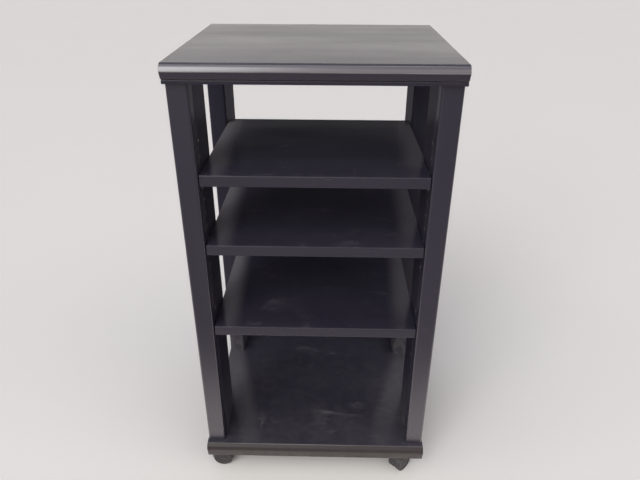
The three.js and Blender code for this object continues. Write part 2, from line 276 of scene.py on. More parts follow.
def newGroup(name, inputs, outputs):
    tree = bpy.data.node_groups.new(name, "ShaderNodeTree")
    kinds = {"float": "NodeSocketFloat", "color": "NodeSocketColor", "vector": "NodeSocketVector"}
    for label, kind, start in inputs:
        socket = tree.interface.new_socket(name=label, in_out="INPUT", socket_type=kinds[kind])
        if start is not None:
            socket.default_value = start
    for label, kind in outputs:
        tree.interface.new_socket(name=label, in_out="OUTPUT", socket_type=kinds[kind])
    given, made = tree.nodes.new("NodeGroupInput"), tree.nodes.new("NodeGroupOutput")
    return tree, given.outputs, made.inputs


def addNode(tree, kind, **settings):
    node = tree.nodes.new(kind)
    for key, value in settings.items():
        if key in node.inputs:
            node.inputs[key].default_value = value
        else:
            setattr(node, key, value)
    return node


def addNoise(tree, vector, scale, detail=3, roughness=0.5, distortion=0.0):
    noise = addNode(tree, "ShaderNodeTexNoise")
    noise.inputs["Detail"].default_value = detail
    noise.inputs["Roughness"].default_value = roughness
    noise.inputs["Distortion"].default_value = distortion
    feed(tree, vector, noise.inputs["Vector"])
    feed(tree, scale, noise.inputs["Scale"])
    return noise.outputs["Fac"]


def feed(tree, source, socket):
    # a number is set on the socket, and another socket is linked to it
    if isinstance(source, bpy.types.NodeSocket):
        tree.links.new(source, socket)
    else:
        socket.default_value = source


def addMath(tree, operation, first, second=0.0, clamp=False):
    node = addNode(tree, "ShaderNodeMath", operation=operation, use_clamp=clamp)
    feed(tree, first, node.inputs[0])
    feed(tree, second, node.inputs[1])
    return node.outputs[0]


def multiply(tree, first, *others):
    for other in others:
        first = addMath(tree, "MULTIPLY", first, other)
    return first


def addRange(tree, value, fromLow, fromHigh, toLow=0.0, toHigh=1.0):
    node = addNode(tree, "ShaderNodeMapRange", interpolation_type="SMOOTHSTEP")
    for source, socket in zip((value, fromLow, fromHigh, toLow, toHigh), node.inputs[:5]):
        feed(tree, source, socket)
    return node.outputs[0]


def addPatches(tree, vector, scale, span, **noise):
    # noise turned to patches: a range of its levels, and what they become
    return addRange(tree, addNoise(tree, vector, scale, **noise), *span)


def addMix(tree, factor, first, second, blend="MIX"):
    node = addNode(tree, "ShaderNodeMix", data_type="RGBA", blend_type=blend)
    feed(tree, factor, node.inputs["Factor"])
    feed(tree, first, node.inputs[6])
    feed(tree, second, node.inputs[7])
    return node.outputs[2]


def addStretch(tree, vector, scale, offset=(0, 0, 0)):
    node = addNode(tree, "ShaderNodeMapping")
    node.inputs["Scale"].default_value = scale
    node.inputs["Location"].default_value = offset
    feed(tree, vector, node.inputs["Vector"])
    return node.outputs[0]


def addSplit(tree, vector):
    node = addNode(tree, "ShaderNodeSeparateXYZ")
    feed(tree, vector, node.inputs[0])
    return node.outputs


def makeFoilGroup():
    # printed foil on board: soft mottling, a faint long grain, and a fine pressed texture
    tree, given, made = newGroup("pressedFoil", [
        ("Vector", "vector", None),
        ("Color", "color", (0.03, 0.03, 0.03, 1)),
        ("Tint", "color", (0.05, 0.05, 0.05, 1)),
        ("Roughness", "float", 0.4),
        ("Grain", "float", 0.5),
    ], [("Color", "color"), ("Roughness", "float"), ("Height", "float")])
    vector = given["Vector"]
    clouds = addPatches(tree, vector, 5.0, (0.35, 0.68), detail=4, distortion=0.6)
    fine = addNoise(tree, vector, 1400.0, detail=2)
    pores = addPatches(tree, vector, 420.0, (0.52, 0.72), detail=3, roughness=0.7)
    grained = multiply(tree, pores, given["Grain"])
    color = addMix(tree, clouds, given["Color"], given["Tint"])
    darker = addMix(tree, multiply(tree, grained, 0.35), color, (0.004, 0.004, 0.005, 1))
    uneven = addPatches(tree, vector, 9.0, (0.3, 0.75, -0.02, 0.03), detail=4, distortion=0.8)
    rough = addMath(tree, "ADD", given["Roughness"], uneven, clamp=True)
    bumps = addMath(tree, "ADD", multiply(tree, fine, 0.5), multiply(tree, grained, -0.4))
    feed(tree, darker, made["Color"])
    feed(tree, rough, made["Roughness"])
    feed(tree, bumps, made["Height"])
    return tree


def makeDustGroup():
    # dust lies on what faces up: an uneven film, wiped thin in places, with smears and a few specks
    tree, given, made = newGroup("settledDust", [
        ("Vector", "vector", None),
        ("Up", "float", 1.0),
        ("Color", "color", (0.03, 0.03, 0.03, 1)),
        ("Dust Color", "color", (0.25, 0.24, 0.24, 1)),
        ("Amount", "float", 0.3),
        ("Specks", "float", 0.3),
        ("Scale", "float", 6.0),
    ], [("Color", "color"), ("Mask", "float")])
    vector, scale = given["Vector"], given["Scale"]
    wipeScale, smearScale = multiply(tree, scale, 2.2), multiply(tree, scale, 4.0)
    clouds = addPatches(tree, vector, scale, (0.25, 0.78, 0.35, 1.0), detail=5, distortion=0.3)
    wiped = addPatches(tree, vector, wipeScale, (0.42, 0.75, 1.0, 0.6), detail=4, distortion=1.2)
    smears = addPatches(tree, vector, smearScale, (0.60, 0.80, 0.0, 0.8), detail=5, distortion=1.0)
    film = addMath(tree, "ADD", multiply(tree, clouds, wiped), smears)
    facing = addRange(tree, given["Up"], 0.2, 0.95)
    laid = multiply(tree, film, facing, given["Amount"])
    specks = addPatches(tree, vector, 420.0, (0.72, 0.78), detail=1)
    speckMask = multiply(tree, specks, facing, given["Specks"])
    mask = addMath(tree, "MAXIMUM", laid, speckMask, clamp=True)
    color = addMix(tree, mask, given["Color"], given["Dust Color"])
    feed(tree, color, made["Color"])
    feed(tree, mask, made["Mask"])
    return tree


def makeScuffAndHighlightGroup():
    # short fine scratches in two directions, and rubbed arrises with a painted highlight where the
    # piece marks them;
    # Along is the place drawn out along the piece
    tree, given, made = newGroup("scuffsAndRub", [
        ("Vector", "vector", None),
        ("Along", "vector", None),
        ("Rub", "float", 0.0),
        ("Color", "color", (0.03, 0.03, 0.03, 1)),
        # the worn colour serves the scratches, and on the arrises also the painted highlight
        ("Worn Color", "color", (0.12, 0.11, 0.11, 1)),
        ("Scratches", "float", 0.3),
        ("Wear", "float", 0.4),
    ], [("Color", "color"), ("Mask", "float")])
    vector = given["Vector"]
    masks = []
    for scale, offset in [((14, 420, 120), (0.3, 0.1, 0.7)), ((380, 22, 90), (0.6, 0.4, 0.2))]:
        moved = addStretch(tree, vector, scale, offset)
        masks.append(addPatches(tree, moved, 1.0, (0.70, 0.78), detail=2, distortion=0.4))
    patches = addPatches(tree, vector, 9.0, (0.5, 0.7), detail=2)
    scratches = multiply(tree, addMath(tree, "MAXIMUM", *masks), patches)
    scratchMask = multiply(tree, scratches, given["Scratches"])
    # the rub and painted highlight is unbroken, and grows and fades slowly along the piece
    rubbedAndHighlit = addPatches(tree, given["Along"], 34.0, (0.30, 0.68, 0.35, 1.0), detail=3)
    rubAndHighlightMask = multiply(tree, rubbedAndHighlit, given["Rub"], given["Wear"])
    mask = addMath(tree, "MAXIMUM", scratchMask, rubAndHighlightMask, clamp=True)
    color = addMix(tree, mask, given["Color"], given["Worn Color"])
    feed(tree, color, made["Color"])
    feed(tree, mask, made["Mask"])
    return tree


foilGroup = makeFoilGroup()
dustGroup = makeDustGroup()
scuffAndHighlightGroup = makeScuffAndHighlightGroup()
print("shader groups made")


# Finishes

def placeGroup(tree, group, **given):
    node = addNode(tree, "ShaderNodeGroup", node_tree=group)
    for label, source in given.items():
        feed(tree, source, node.inputs[label.replace("_", " ")])
    return node.outputs


def newFinish(name):
    # the shader is handed back as its inputs, and the coordinates as their outputs
    material = bpy.data.materials.new(name)
    material.use_nodes = True
    tree = material.node_tree
    shader = tree.nodes["Principled BSDF"].inputs
    coords = addNode(tree, "ShaderNodeTexCoord").outputs
    return material, tree, shader, coords


def addBump(tree, shader, height, distance):
    bump = addNode(tree, "ShaderNodeBump", Strength=1.0, Distance=distance)
    feed(tree, height, bump.inputs["Height"])
    feed(tree, bump.outputs["Normal"], shader["Normal"])


def paintDustAndLight(tree, spot, look, amount):
    # the base is painted lighter along its front and sides, as dust and as painted light coming in
    # through the open front and sides; its middle and back stay darker, as painted shade
    sides = addRange(tree, addMath(tree, "ABSOLUTE", spot["X"]), *look["sides"])
    front = addRange(tree, spot["Y"], *look["front"])
    spread = addRange(tree, addMath(tree, "MAXIMUM", sides, front), 0.0, 1.0, look["middle"], 1.0)
    back = addRange(tree, spot["Y"], *look["back"])
    return multiply(tree, spread, back, amount)


def addPaintedLightStrips(tree, spot, look):
    # a strip of painted reflected light near each end of a board, between two slanting lines; it fades
    # to the front
    aside = addMath(tree, "ABSOLUTE", spot["X"])
    bounds = []
    for slant, low, high in (look["inner"], look["outer"]):
        slanted = addMath(tree, "SUBTRACT", aside, multiply(tree, spot["Y"], slant))
        bounds.append(addRange(tree, slanted, low, high))
    strips = multiply(tree, bounds[0], addMath(tree, "SUBTRACT", 1.0, bounds[1]))
    depth = addRange(tree, spot["Y"], *look["fade"])
    right = addRange(tree, spot["X"], *look["right"])
    return multiply(tree, strips, depth, right)


def addSmears(tree, vector, look, strength):
    # wiping left a few faint swirls, in patches
    moved = addStretch(tree, vector, look["stretch"], look["shift"])
    swirls = addPatches(tree, moved, look["scale"], (*look["edge"], 0.0, strength),
                        detail=6, roughness=0.62, distortion=1.1)
    patches = addPatches(tree, vector, look["patchScale"], look["patchEdge"], detail=2)
    return multiply(tree, swirls, patches)


def makeFoil(name, look):
    material, tree, shader, coords = newFinish(name)
    vector = coords["Object"]
    up = addSplit(tree, coords["Normal"])
    rub = addNode(tree, "ShaderNodeAttribute", attribute_name="rub")
    stretched = addStretch(tree, vector, look["grainStretch"])
    foil = placeGroup(tree, foilGroup, Vector=stretched, Color=look["color"], Tint=look["tint"],
                      Roughness=look["roughness"], Grain=look["grain"])
    scuffsAndHighlight = placeGroup(tree, scuffAndHighlightGroup, Vector=vector, Along=stretched, Rub=rub.outputs["Fac"],
                        Color=foil["Color"], Worn_Color=look["wornColor"],
                        Scratches=look["scratches"], Wear=look["wear"])
    spot = addSplit(tree, vector)
    color = scuffsAndHighlight["Color"]
    # painted reflected light near the ends, and the real wiping smears, both laid in the dust colour on
    # what faces up
    if look["strips"]:
        smears = addSmears(tree, vector, wipeMarks, look["smears"])
        lightStripsAndSmears = addMath(tree, "MAXIMUM", addPaintedLightStrips(tree, spot, look["strips"]), smears)
        upLightStripsAndSmears = multiply(tree, lightStripsAndSmears, addRange(tree, up["Z"], 0.2, 0.95))
        color = addMix(tree, upLightStripsAndSmears, color, look["dustColor"])
    amount = look["dust"]
    if look["gathers"]:
        amount = paintDustAndLight(tree, spot, look["gathers"], amount)
    dust = placeGroup(tree, dustGroup, Vector=vector, Up=up["Z"], Color=color,
                      Dust_Color=look["dustColor"], Amount=amount, Specks=look["specks"],
                      Scale=look["dustScale"])
    # lighter towards the floor: grime, and painted reflection of the bright floor
    low = addRange(tree, spot["Z"], 0.0, look["grimeHeight"], look["grime"], 0.0)
    smudgesAndReflection = addPatches(tree, vector, look["grimeScale"], (0.35, 0.7, 0.3, 1.0),
                         detail=4, distortion=0.7)
    dirtyAndReflecting = addMix(tree, multiply(tree, low, smudgesAndReflection), dust["Color"], look["grimeColor"])
    feed(tree, dirtyAndReflecting, shader["Base Color"])
    film = addMath(tree, "ADD", dust["Mask"], multiply(tree, low, look["grimeRoughness"]))
    dusty = multiply(tree, film, look["dustRoughness"])
    scuffed = multiply(tree, scuffsAndHighlight["Mask"], look["scuffRoughness"])
    rough = addMath(tree, "ADD", foil["Roughness"], dusty)
    feed(tree, addMath(tree, "ADD", rough, scuffed, clamp=True), shader["Roughness"])
    shader["Specular IOR Level"].default_value = look["gloss"]
    addBump(tree, shader, foil["Height"], look["texture"])
    return material


foilLook = {  # what the black foils share; each finish changes what differs
    "color": (0.0105, 0.0095, 0.0170, 1),
    "tint": (0.0135, 0.0120, 0.0205, 1),
    "roughness": 0.25,
    "gloss": 0.8,
    "grain": 0.25,
    "grainStretch": (1, 1, 0.15),
    "texture": 0.01 * mm,
    "wornColor": (0.09, 0.085, 0.09, 1),
    "scratches": 0.10,
    "scuffRoughness": 0.25,
    "wear": 0.25,
    "dustColor": (0.11, 0.105, 0.115, 1),
    "dust": 0.08,
    "specks": 0.2,
    "dustScale": 5.0,
    "dustRoughness": 0.4,
    "gathers": None,  # where dust and painted light are laid thicker, if anywhere
    "strips": None,  # strips of painted reflected light near the ends, and with them the smears
    "smears": 0.22,
    "grime": 0.10,  # grime and painted reflection of the bright floor, thickest at the floor and gone above its height
    "grimeHeight": 0.20,
    "grimeScale": 34.0,
    "grimeColor": (0.2, 0.19, 0.18, 1),
    "grimeRoughness": 2.0,
}
alongX = (0.15, 1, 1)
wipeMarks = {"stretch": (0.7, 1.3, 1), "shift": (0.37, 0.21, 0), "scale": 13.0,
             "edge": (0.52, 0.74), "patchScale": 4.5, "patchEdge": (0.46, 0.62)}
# the painted light strips' lines are slant, start and end; fade and right are two places and the
# strength at each
shelfLightStrips = {"inner": (0.05, 0.176, 0.222), "outer": (0.227, 0.252, 0.264),
               "fade": (-0.22, -0.11, 0.23, 0.80), "right": (-0.1, 0.1, 1.0, 0.5)}
baseLightStrips = {"inner": (0.27, 0.185, 0.225), "outer": (0.3, 0.250, 0.272),
              "fade": (-0.22, -0.06, 0.09, 0.32), "right": (-0.1, 0.1, 1.0, 0.8)}
baseDustAndLight = {"sides": (0.09, 0.20), "front": (-0.02, -0.20, 0.0, 0.6), "middle": 0.12,
                 "back": (0.02, 0.16, 1.0, 0.1)}
topFoil = makeFoil("topFoil", {
    **foilLook, "grainStretch": alongX, "roughness": 0.22, "gloss": 0.5, "dust": 0.05, "wear": 0.35})
# the mouldings' light worn colour paints a highlight along their arrises
mouldingFoil = makeFoil("mouldingFoil", {
    **foilLook, "color": (0.0150, 0.0122, 0.0215, 1), "tint": (0.0190, 0.0155, 0.0260, 1),
    "grainStretch": (-0.15, 1, 1), "roughness": 0.20, "dust": 0.0, "wornColor": (0.34, 0.33, 0.31, 1),
    "wear": 0.4})
# the base moulding's lower part is painted lighter, as painted reflection of the bright floor
plinthFoil = makeFoil("plinthFoil", {
    **foilLook, "color": (0.0180, 0.0145, 0.0150, 1), "tint": (0.0220, 0.0180, 0.0185, 1),
    "grainStretch": alongX, "roughness": 0.30, "gloss": 0.13, "dust": 0.0, "grime": 0.50,
    "grimeHeight": 0.103, "wornColor": (0.13, 0.125, 0.12, 1), "wear": 0.15})
postFoil = makeFoil("postFoil", foilLook)
innerFoil = makeFoil("innerFoil", {
    **foilLook, "roughness": 0.36, "gloss": 0.2, "grime": 0.25, "grimeHeight": 0.34})
shelfFoil = makeFoil("shelfFoil", {
    **foilLook, "grainStretch": alongX, "roughness": 0.15, "gloss": 0.05, "dust": 0.06,
    "strips": shelfLightStrips, "wear": 0.1})
edgeFoil = makeFoil("edgeFoil", {
    **foilLook, "grainStretch": alongX, "gloss": 0.9, "dust": 0.0, "wear": 0.1})
baseFoil = makeFoil("baseFoil", {
    **foilLook, "grainStretch": alongX, "roughness": 0.30, "gloss": 0.15, "dust": 0.12,
    "gathers": baseDustAndLight, "strips": baseLightStrips, "smears": 0.45,
    "wornColor": (0.15, 0.145, 0.14, 1), "wear": 0.5})

rawBoardLook = {"chip": (0.20, 0.165, 0.13, 1), "glue": (0.075, 0.06, 0.05, 1),
                "stretch": (1, 1, 0.5), "scale": 900.0, "rough": (0.75, 0.95), "relief": 0.1 * mm}
zincLook = {"dull": (0.52, 0.52, 0.50, 1), "bright": (0.70, 0.70, 0.69, 1), "cloudScale": 140.0,
            "brush": (300, 300, 4000), "rough": (0.24, 0.42), "relief": 0.01 * mm}
beechLook = {"early": (0.56, 0.38, 0.20, 1), "late": (0.70, 0.52, 0.32, 1),
             "fleck": (0.36, 0.22, 0.11, 1), "grain": (1200, 1200, 60), "flecks": (2600, 700, 150),
             "rough": (0.6, 0.78), "relief": 0.05 * mm}
nylonLook = {  # what the two nylons share
    "skinScale": 2600.0, "texture": 0.02 * mm, "patchScale": 60.0, "rollScale": 120.0,
    "dust": 0.2, "specks": 0.2, "dustScale": 45.0}


def makeRawBoard(look):
    # pressed chips, seen only inside the drilled holes
    material, tree, shader, coords = newFinish("rawBoard")
    chips = addNode(tree, "ShaderNodeTexVoronoi", feature="F1")
    feed(tree, addStretch(tree, coords["Object"], look["stretch"]), chips.inputs["Vector"])
    feed(tree, look["scale"], chips.inputs["Scale"])
    shade = addRange(tree, chips.outputs["Distance"], 0.0, 0.8)
    feed(tree, addMix(tree, shade, look["chip"], look["glue"]), shader["Base Color"])
    feed(tree, addRange(tree, shade, 0, 1, *look["rough"]), shader["Roughness"])
    addBump(tree, shader, chips.outputs["Distance"], look["relief"])
    return material


def makeZinc(look):
    # bright zinc plating, softly clouded, with fine brush lines
    material, tree, shader, coords = newFinish("zincSteel")
    vector = coords["Object"]
    clouds = addNoise(tree, vector, look["cloudScale"], detail=4, distortion=0.8)
    lines = addNoise(tree, addStretch(tree, vector, look["brush"]), 1.0, detail=2)
    feed(tree, addMix(tree, clouds, look["dull"], look["bright"]), shader["Base Color"])
    feed(tree, addRange(tree, clouds, 0.3, 0.7, *look["rough"]), shader["Roughness"])
    shader["Metallic"].default_value = 1.0
    addBump(tree, shader, lines, look["relief"])
    return material


def makeBeech(look):
    # the dowels: fine lengthwise grain with darker flecks
    material, tree, shader, coords = newFinish("beechDowel")
    vector = coords["Object"]
    grain = addNoise(tree, addStretch(tree, vector, look["grain"]), 1.0, detail=4, roughness=0.6)
    flecks = addPatches(tree, addStretch(tree, vector, look["flecks"]), 1.0, (0.6, 0.7), detail=2)
    color = addMix(tree, grain, look["early"], look["late"])
    feed(tree, addMix(tree, flecks, color, look["fleck"]), shader["Base Color"])
    feed(tree, addRange(tree, grain, 0.3, 0.7, *look["rough"]), shader["Roughness"])
    addBump(tree, shader, grain, look["relief"])
    return material


def makeNylon(name, look):
    # moulded nylon with a spark-eroded skin, scuffed and dusty from rolling
    material, tree, shader, coords = newFinish(name)
    vector = coords["Object"]
    up = addSplit(tree, coords["Normal"])
    skin = addNoise(tree, vector, look["skinScale"], detail=2)
    patches = addNoise(tree, vector, look["patchScale"], detail=5, roughness=0.65, distortion=0.5)
    color = addMix(tree, addRange(tree, patches, 0.35, 0.7), look["color"], look["tint"])
    dust = placeGroup(tree, dustGroup, Vector=vector, Up=up["Z"], Color=color,
                      Dust_Color=look["dustColor"], Amount=look["dust"], Specks=look["specks"],
                      Scale=look["dustScale"])
    film = addPatches(tree, vector, look["rollScale"], (0.4, 0.75, 0.0, look["film"]),
                      detail=6, roughness=0.7)
    feed(tree, addMix(tree, film, dust["Color"], look["dustColor"]), shader["Base Color"])
    feed(tree, addRange(tree, patches, 0.3, 0.7, *look["rough"]), shader["Roughness"])
    shader["Specular IOR Level"].default_value = look["gloss"]
    addBump(tree, shader, skin, look["texture"])
    return material


rawBoard = makeRawBoard(rawBoardLook)
zincSteel = makeZinc(zincLook)
beechDowel = makeBeech(beechLook)
casterNylon = makeNylon("casterNylon", {
    **nylonLook, "color": (0.010, 0.010, 0.012, 1), "tint": (0.016, 0.015, 0.018, 1),
    "dustColor": (0.16, 0.15, 0.15, 1), "film": 0.06, "rough": (0.34, 0.5), "gloss": 0.35})
wheelNylon = makeNylon("wheelNylon", {
    **nylonLook, "color": (0.013, 0.012, 0.0145, 1), "tint": (0.019, 0.018, 0.020, 1),
    "dustColor": (0.15, 0.14, 0.14, 1), "film": 0.08, "rough": (0.42, 0.6), "gloss": 0.25})
print("finishes made")


# Boards and mouldings

topBoardParts = {
    "node": "top_board",
    "nose": (6.5 * mm, 1.1 * mm),  # how far back the top's soft front edge begins, and its drop
    "nosePull": 0.2,  # where its curve is pulled to, as a share of the first
    "noseSteps": 8,
    "arris": 0.6 * mm,
    "groove": (3.0 * mm, 3.2 * mm),  # depth and height, right under the moulding
    "lipRound": (0.3 * mm, 2),  # rounding and steps
}
topMouldingParts = {
    "node": "top_front_moulding",
    "quirkDrop": 1.8 * mm,
    "quirkRound": 1.2 * mm,
    "arrisDrop": 14 * mm,
    "footReach": 2.5 * mm,
    "bevelBow": (0.83, 0.4),  # where the bevel's curve is pulled to, as shares of its reach and drop
    "bevelSteps": 14,
    "arris": 0.8 * mm,
    "arrisSteps": 3,
    "arrisFrom": 28,
}
baseMouldingParts = {
    "node": "base_front_moulding",
    "noseDrop": 15.5 * mm,
    "footReach": 3 * mm,
    "bow": (1.0, 0.36),  # where the nose's curve is pulled to, as shares of its reach and drop
    "steps": 16,
    "arris": 1.0 * mm,
    "arrisSteps": 3,
    "arrisFrom": 28,
}


def bowedLine(start, end, pulledTo, steps):
    # a curve from start to end, pulled towards a third point
    start, end, middle = Vector(start), Vector(end), Vector(pulledTo)
    points = []
    for step in range(steps + 1):
        t = step / steps
        points.append(start * (1 - t) ** 2 + middle * 2 * t * (1 - t) + end * t ** 2)
    return points


def makeTopBoard(parts):
    low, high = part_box(parts["node"])
    depth, height = parts["groove"]
    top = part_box("top_front_moulding")[0].z
    lip = top - height
    reach, drop = parts["nose"]
    nose = bowedLine((reach, 0), (0, -drop), (parts["nosePull"] * reach, 0), parts["noseSteps"])
    outline = [(high.y, low.z), (high.y, high.z)]
    outline += [(low.y + y, high.z + z) for y, z in nose]
    outline += [(low.y, top), (low.y + depth, top), (low.y + depth, lip), (low.y, lip),
                (low.y, low.z)]
    board = drawAlongX("topBoard", outline, low.x, high.x)
    bevelEdges(board, [(0, {1: low.y, 2: lip})], *parts["lipRound"])
    softenArrises(board, parts["arris"])
    markArrises(board)
    dress(board, topFoil, parts["node"], "rack", "top_foil")


def makeMoulding(name, outline, finish, parts):
    low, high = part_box(parts["node"])
    strip = drawAlongX(name, outline, low.x, high.x)
    softenArrises(strip, parts["arris"], parts["arrisSteps"], parts["arrisFrom"])
    markArrises(strip)
    dress(strip, finish, parts["node"], "rack", "moulding_foil")


def makeTopMoulding(parts):
    low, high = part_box(parts["node"])
    face = high.y
    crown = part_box("top_board")[1].z
    reach = face - low.y
    outline = [(face, low.z), (face, crown - parts["quirkDrop"] - parts["quirkRound"])]
    quirk = (-parts["quirkRound"], -parts["quirkDrop"])
    acrossShare, downShare = parts["bevelBow"]
    pulledTo = (-acrossShare * reach, -downShare * parts["arrisDrop"])
    bevel = bowedLine(quirk, (-reach, -parts["arrisDrop"]), pulledTo, parts["bevelSteps"])
    outline += [(face + y, crown + z) for y, z in bevel]
    outline.append((face - parts["footReach"], low.z))
    makeMoulding("topMoulding", outline, mouldingFoil, parts)


def makeBaseMoulding(parts):
    low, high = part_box(parts["node"])
    crown, face = high.z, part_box("base_board")[0].y
    reach, drop = face - low.y, parts["noseDrop"]
    acrossShare, downShare = parts["bow"]
    nose = bowedLine((high.y - face, 0), (-reach, -drop), (-acrossShare * reach, -downShare * drop),
                     parts["steps"])
    outline = [(high.y, low.z)] + [(face + y, crown + z) for y, z in nose]
    outline.append((face - parts["footReach"], low.z))
    makeMoulding("baseMoulding", outline, plinthFoil, parts)


makeTopBoard(topBoardParts)
makeTopMoulding(topMouldingParts)
makeBaseMoulding(baseMouldingParts)
print("top board and mouldings made")


# Holes: drilled from profiles, so that each has a small broken edge at its mouth

pinHole = {"radius": 2.75 * mm, "depth": 11 * mm, "mouth": 0.35 * mm, "steps": 24}
holeRows = {"pitch": 32 * mm, "low": (264 * mm, 5), "high": (510 * mm, 10)}  # start and count


def makeHoleCutter(name, radius, depth, mouth, steps):
    # it stands upright with its mouth at zero, and reaches a little above it
    over = 2 * mm
    profile = [(0, -depth), (radius, -depth), (radius, -mouth), (radius + mouth, 0),
               (radius + mouth, over), (0, over)]
    cutter = turnProfile(name, profile, steps)
    cutter.data.materials.append(rawBoard)
    return cutter


def drillRow(piece, cutter, places):
    # all the cutters of a piece are joined first, so that one cut makes every hole
    copies = []
    for number, matrix in enumerate(places):
        twin = copyPiece(cutter, f"{cutter.name}{number}")
        place(twin, matrix)
        copies.append(twin)
    cutWith(piece, joinPieces("cutters", copies))


def pinHoleHeights():
    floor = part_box("base_board")[1].z
    heights = []
    for start, count in (holeRows["low"], holeRows["high"]):
        heights += [floor + start + step * holeRows["pitch"] for step in range(count)]
    return heights


pinCutter = makeHoleCutter("pinCutter", **pinHole)


# Posts: front stiles, the side boards behind them, and the rear posts

postParts = {
    "arris": 0.6 * mm,
    "frontRound": 5 * mm,
    "seamRound": 1.5 * mm,
    "roundSteps": 6,
    "boardHoleInset": 7 * mm,
    "rearHoleInset": 19 * mm,
}


def makePost(name, node, material, slotName, rounds, holeInset=None):
    # rounds are edges and radii; an edge is the inner or outer one, at the front or the back
    low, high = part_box(node)
    side = 1 if low.x > 0 else -1
    inner = low.x if side > 0 else high.x
    outer = high.x if side > 0 else low.x
    post = addBlock(name, low, high)
    post.data.materials.append(material)
    for (across, end), radius in rounds:
        x = inner if across == "inner" else outer
        y = low.y if end == "front" else high.y
        bevelEdges(post, [(2, {0: x, 1: y})], radius, postParts["roundSteps"])
    softenArrises(post, postParts["arris"])
    markArrises(post)
    if holeInset is not None:
        turn = Matrix.Rotation(math.radians(-90 * side), 4, "Y")
        drillRow(post, pinCutter, [Matrix.Translation((inner, low.y + holeInset, height)) @ turn
                                   for height in pinHoleHeights()])
    dress(post, material, node, "rack", slotName)


def makePosts(parts):
    front, seam = parts["frontRound"], parts["seamRound"]
    frontRounds = [(("inner", "front"), front), (("outer", "front"), front)]
    for side in ("left", "right"):
        makePost(f"{side}FrontStile", f"{side}_front_stile", postFoil, "carcass_foil",
                 [*frontRounds, (("inner", "back"), seam)])
        makePost(f"{side}SideBoard", f"{side}_side_board", innerFoil, "inner_foil", [],
                 parts["boardHoleInset"])
        makePost(f"{side}RearPost", f"{side}_rear_post", innerFoil, "inner_foil", frontRounds,
                 parts["rearHoleInset"])


makePosts(postParts)
print("posts made and drilled")


# Shelves

shelfParts = {
    "frontRound": 2 * mm,
    "roundSteps": 5,
    "arris": 0.6 * mm,
    "bandFrom": -0.95,  # faces that look this far to the front have the edge band
}


def makeShelf(name, node, parts):
    low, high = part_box(node)
    shelf = addBlock(name, low, high)
    bevelEdges(shelf, [(0, {1: low.y})], parts["frontRound"], parts["roundSteps"])
    softenArrises(shelf, parts["arris"])
    markArrises(shelf)
    # the front edge is banded with a glossier foil
    shelf.data.materials.append(shelfFoil)
    shelf.data.materials.append(edgeFoil)
    for face in shelf.data.polygons:
        if face.normal.y < parts["bandFrom"]:
            face.material_index = 1
    dress(shelf, shelfFoil, node, "rack", "shelf_foil")


for shelfName, shelfNode in [("topShelf", "shelf_top"), ("middleShelf", "shelf_middle"),
                             ("bottomShelf", "shelf_bottom")]:
    makeShelf(shelfName, shelfNode, shelfParts)
print("shelves made")


# The base board, drilled for its screws and caster sockets

baseParts = {
    "node": "base_board",
    "frontRound": 2.4 * mm,
    "roundSteps": 3,
    "arris": 0.6 * mm,
    "rubWidth": 1.5 * mm,
    "screwHole": {"radius": 5.3 * mm, "depth": 3 * mm, "mouth": 0.3 * mm, "steps": 32},
    "socketHole": {"radius": 6.2 * mm, "depth": 36 * mm, "mouth": 0.3 * mm, "steps": 32},
}


def makeBase(parts):
    low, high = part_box(parts["node"])
    board = addBlock("baseBoard", low, high)
    board.data.materials.append(baseFoil)
    bevelEdges(board, [(0, {1: low.y, 2: high.z})], parts["frontRound"], parts["roundSteps"])
    softenArrises(board, parts["arris"])
    # the front rounding's faces are marked too, so that a painted highlight runs along the board's
    # front arris
    markArrises(board, parts["rubWidth"])
    screws = sorted(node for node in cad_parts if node.startswith("screw_"))
    sockets = sorted(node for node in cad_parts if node.endswith("_socket"))
    upright = Matrix.Rotation(math.pi, 4, "X")
    for nodes, hole in ((screws, parts["screwHole"]), (sockets, parts["socketHole"])):
        cutter = makeHoleCutter("baseCutter", **hole)
        middles = [middleOf(node) for node in nodes]
        drillRow(board, cutter, [Matrix.Translation((middle.x, middle.y, low.z)) @ upright
                                 for middle in middles])
        bpy.data.objects.remove(cutter)
    dress(board, baseFoil, parts["node"], "rack", "carcass_foil")


makeBase(baseParts)
bpy.data.objects.remove(pinCutter)
print("base made and drilled")


# Shelf pins: a bent plate with a peg, made once and turned for each post

pinParts = {
    "gap": 0.2 * mm,
    "plate": 1.2 * mm,
    "width": 12 * mm,
    "drop": 6 * mm,
    "rise": 10 * mm,
    "reach": 11 * mm,
    "ledge": 1.6 * mm,
    "bend": (1.4 * mm, 0.9 * mm),  # outer and inner rounding of the bend
    "corner": (2.5 * mm, 5),  # rounding and steps
    "peg": (2.5 * mm, 9 * mm, 24),  # radius, length and sides
    "pegTip": 0.5 * mm,
    "pegSunk": 0.4 * mm,  # how far the peg ends behind the plate's face
    "arris": 0.15 * mm,
    "arrisFrom": 50,
}


